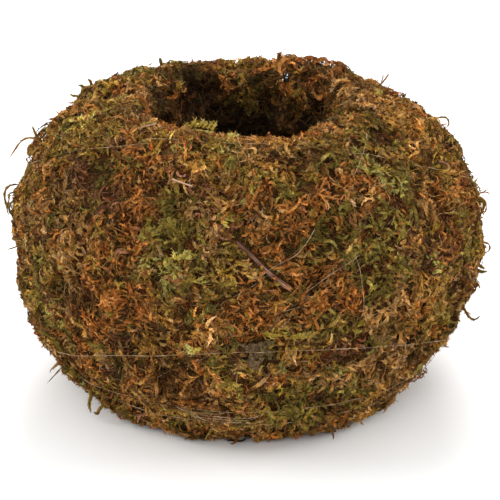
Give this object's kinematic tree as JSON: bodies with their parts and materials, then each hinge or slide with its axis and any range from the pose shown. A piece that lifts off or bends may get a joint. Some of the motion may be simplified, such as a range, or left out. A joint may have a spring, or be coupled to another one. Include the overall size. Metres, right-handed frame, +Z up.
{
  "type": "moss-ball planter",
  "caption": "Squat kokedama-style ball of dried moss bound with clear thread, with a wide lined planting hole in its top for a small potted plant or root ball.",
  "frame": {"origin": "middle of the flat spot on the underside that the ball rests on", "axes": "+Z up, out of the planting hole; -Y towards the side that faces the viewer"},
  "size_m": [0.2216, 0.2119, 0.1427],
  "materials": {
    "moss": "matte",
    "nylon": "gloss",
    "film": "gloss",
    "fibre": "matte",
    "bark": "matte",
    "dead_leaf": "matte"
  },
  "bodies": {
    "root": {"moss_jacket": "moss", "binding_thread": "nylon", "liner_film": "film", "fibre_core": "fibre", "twig": "bark", "leaf_fragment": "dead_leaf"}
  },
  "joints": []
}
